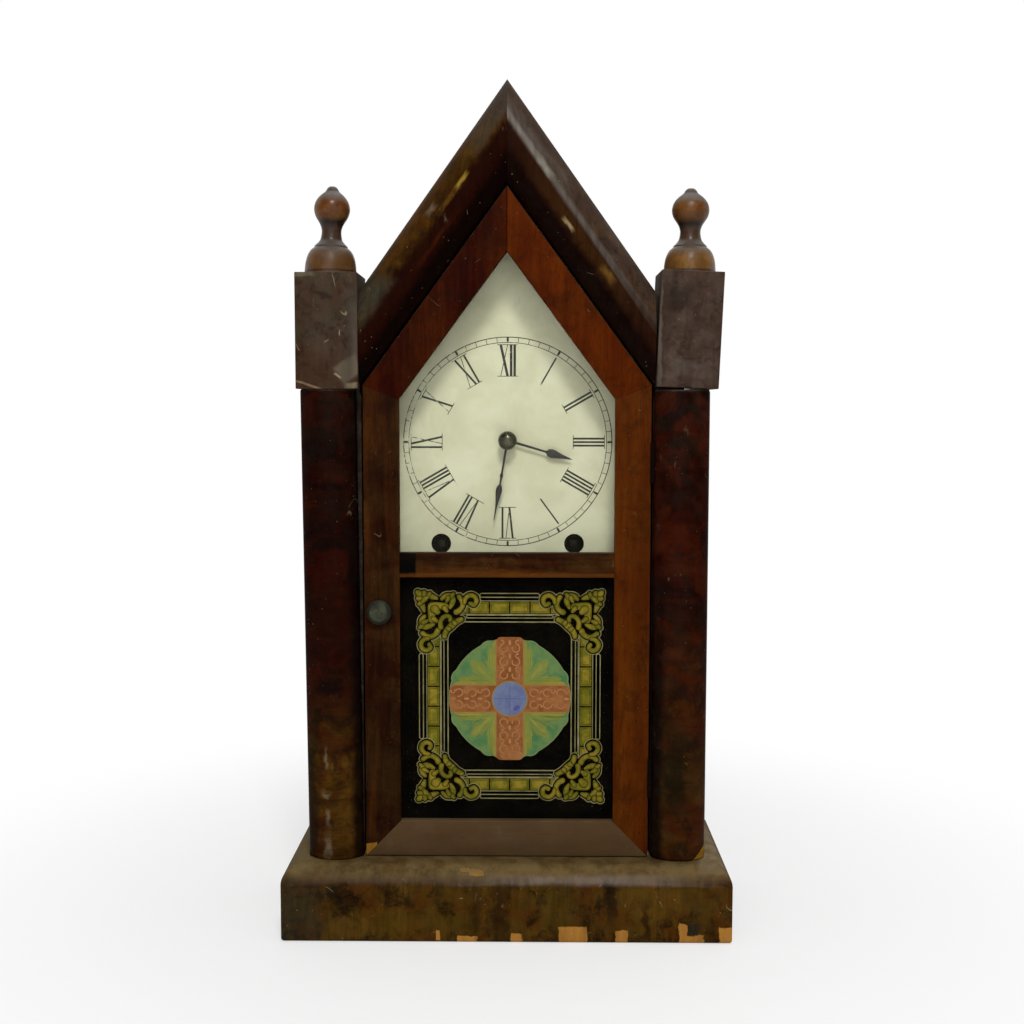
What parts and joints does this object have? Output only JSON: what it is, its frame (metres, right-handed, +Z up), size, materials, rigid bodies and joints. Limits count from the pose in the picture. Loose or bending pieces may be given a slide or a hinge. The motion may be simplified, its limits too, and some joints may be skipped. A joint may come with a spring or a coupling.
{
  "type": "cathedral top mantel clock",
  "caption": "Gothic gable-topped mantel clock with half-round columns, turned finials, a hinged glazed door, a roman dial, a painted tablet and a pendulum movement.",
  "frame": {"origin": "middle of the underside of the base, on the shelf", "axes": "+X to the viewer's right, the dial faces -Y, +Z up"},
  "size_m": [0.268, 0.109, 0.508],
  "materials": {
    "base_veneer": "worn rosewood veneer, dusty shellac",
    "column_veneer": "dark rosewood veneer, worn shellac",
    "gable_veneer": "dark cross-grained veneer, dusty shellac",
    "block_veneer": "dusty dark veneer",
    "door_veneer": "red-brown rosewood veneer, shellac",
    "finial_wood": "turned fruitwood, stained, shellac",
    "pine": "aged pine",
    "dial_paint": "aged off-white paint on sheet zinc",
    "glass": "clear old window glass",
    "tablet": "glass painted black on its back",
    "brass": "aged brass",
    "dark_brass": "dark patina",
    "steel": "dull steel",
    "knob_metal": "tarnished nickel, greenish grey",
    "blued_steel": "blackened steel",
    "cast_iron": "black japanned iron"
  },
  "bodies": {
    "case": {"base_front_moulding": "base_veneer", "base_left_moulding": "base_veneer", "base_right_moulding": "base_veneer", "floor_board": "pine", "back_board": "pine", "side_board_left": "pine", "side_board_right": "pine", "roof_board_left": "pine", "roof_board_right": "pine", "front_frame_left": "pine", "front_frame_right": "pine", "gable_moulding_left": "gable_veneer", "gable_moulding_right": "gable_veneer", "column_left": "column_veneer", "column_right": "column_veneer", "block_left": "block_veneer", "block_right": "block_veneer", "finial_left": "finial_wood", "finial_right": "finial_wood", "dial_plate": "dial_paint", "dial_cleats": "pine", "dial_tacks": "brass", "hinge_case_leaves": "dark_brass", "front_plate": "brass", "back_plate": "brass", "movement_fasteners": "steel", "mainsprings": "steel", "gong_coil": "steel", "gong_stand": "cast_iron"},
    "door": {"door_stile_left": "door_veneer", "door_stile_right": "door_veneer", "door_bottom_rail": "door_veneer", "door_middle_rail": "door_veneer", "door_gable_left": "door_veneer", "door_gable_right": "door_veneer", "dial_glass": "glass", "tablet_glass": "tablet", "hinge_door_leaves": "dark_brass"},
    "knob": {"door_knob": "knob_metal", "latch_tongue": "knob_metal"},
    "minute": {"centre_wheel": "brass", "minute_hand": "blued_steel", "hand_nut": "blued_steel"},
    "hour": {"hour_wheel": "brass", "hour_hand": "blued_steel"},
    "minute_wheel": {"minute_wheel": "brass"},
    "time_great": {"time_great_wheel": "brass"},
    "time_second": {"time_second_wheel": "brass"},
    "third": {"third_wheel": "brass"},
    "escape": {"escape_wheel": "brass"},
    "verge": {"verge": "steel"},
    "pendulum": {"pendulum_rod": "steel", "pendulum_bob": "brass"},
    "time_winding": {"time_winding_arbor": "steel"},
    "strike_winding": {"strike_winding_arbor": "steel"},
    "strike_second": {"strike_second_wheel": "brass"},
    "strike_great": {"strike_great_wheel": "brass"},
    "strike_third": {"strike_third_wheel": "brass"},
    "fly": {"strike_fly": "brass"},
    "hammer": {"strike_hammer": "steel"}
  },
  "joints": [
    {"name": "door_hinge", "type": "hinge", "parent": "case", "child": "door", "pos_m": [0.086, -0.0359, 0.19], "axis": [0, 0, 1], "range_deg": [0, 95]},
    {"name": "knob_turn", "type": "hinge", "parent": "door", "child": "knob", "pos_m": [-0.0763, -0.03, 0.1956], "axis": [0, 1, 0], "range_deg": [0, 90]},
    {"name": "minute_turn", "type": "hinge", "parent": "case", "child": "minute", "pos_m": [0, 0, 0.2974], "axis": [0, 1, 0], "continuous": true},
    {"name": "hour_turn", "type": "hinge", "parent": "case", "child": "hour", "pos_m": [0, 0, 0.2974], "axis": [0, 1, 0], "continuous": true},
    {"name": "minute_wheel_turn", "type": "hinge", "parent": "case", "child": "minute_wheel", "pos_m": [-0.01273, 0, 0.28467], "axis": [0, 1, 0], "continuous": true},
    {"name": "time_second_turn", "type": "hinge", "parent": "case", "child": "time_second", "pos_m": [0.02284, 0, 0.2702], "axis": [0, 1, 0], "continuous": true},
    {"name": "time_great_turn", "type": "hinge", "parent": "case", "child": "time_great", "pos_m": [0.041, 0, 0.2337], "axis": [0, 1, 0], "continuous": true},
    {"name": "third_turn", "type": "hinge", "parent": "case", "child": "third", "pos_m": [-0.00779, 0, 0.32137], "axis": [0, 1, 0], "continuous": true},
    {"name": "escape_turn", "type": "hinge", "parent": "case", "child": "escape", "pos_m": [0.01022, 0, 0.33094], "axis": [0, 1, 0], "continuous": true},
    {"name": "pendulum_swing", "type": "hinge", "parent": "case", "child": "pendulum", "pos_m": [0.01022, 0, 0.34694], "axis": [0, 1, 0], "range_deg": [-4, 4]},
    {"name": "verge_rock", "type": "hinge", "parent": "case", "child": "verge", "pos_m": [0.01022, 0, 0.34694], "axis": [0, 1, 0], "range_deg": [-4, 4]},
    {"name": "time_winding", "type": "hinge", "parent": "case", "child": "time_winding", "pos_m": [0.041, 0, 0.2337], "axis": [0, 1, 0], "continuous": true},
    {"name": "strike_winding", "type": "hinge", "parent": "case", "child": "strike_winding", "pos_m": [-0.041, 0, 0.2337], "axis": [0, 1, 0], "continuous": true},
    {"name": "strike_second_turn", "type": "hinge", "parent": "case", "child": "strike_second", "pos_m": [-0.03794, 0, 0.27435], "axis": [0, 1, 0], "continuous": true},
    {"name": "strike_great_turn", "type": "hinge", "parent": "case", "child": "strike_great", "pos_m": [-0.041, 0, 0.2337], "axis": [0, 1, 0], "continuous": true},
    {"name": "strike_third_turn", "type": "hinge", "parent": "case", "child": "strike_third", "pos_m": [-0.02999, 0, 0.30036], "axis": [0, 1, 0], "continuous": true},
    {"name": "fly_turn", "type": "hinge", "parent": "case", "child": "fly", "pos_m": [-0.03812, 0, 0.31951], "axis": [0, 1, 0], "continuous": true},
    {"name": "hammer_lift", "type": "hinge", "parent": "case", "child": "hammer", "pos_m": [0, 0, 0.213], "axis": [0, -1, 0], "range_deg": [0, 20], "stiffness_Nm_per_rad": 0.02, "springref_deg": -11.46}
  ],
  "couplings": [
    {"joint": "minute_wheel_turn", "follows": "minute_turn", "ratio": -0.33333},
    {"joint": "hour_turn", "follows": "minute_turn", "ratio": 0.083333},
    {"joint": "time_second_turn", "follows": "minute_turn", "ratio": -0.17143},
    {"joint": "time_great_turn", "follows": "minute_turn", "ratio": 0.030252},
    {"joint": "third_turn", "follows": "minute_turn", "ratio": -8},
    {"joint": "escape_turn", "follows": "minute_turn", "ratio": 60},
    {"joint": "verge_rock", "follows": "pendulum_swing", "ratio": 1},
    {"joint": "strike_great_turn", "follows": "strike_second_turn", "ratio": -0.17647},
    {"joint": "strike_third_turn", "follows": "strike_second_turn", "ratio": -7.5},
    {"joint": "fly_turn", "follows": "strike_second_turn", "ratio": 52.5}
  ]
}
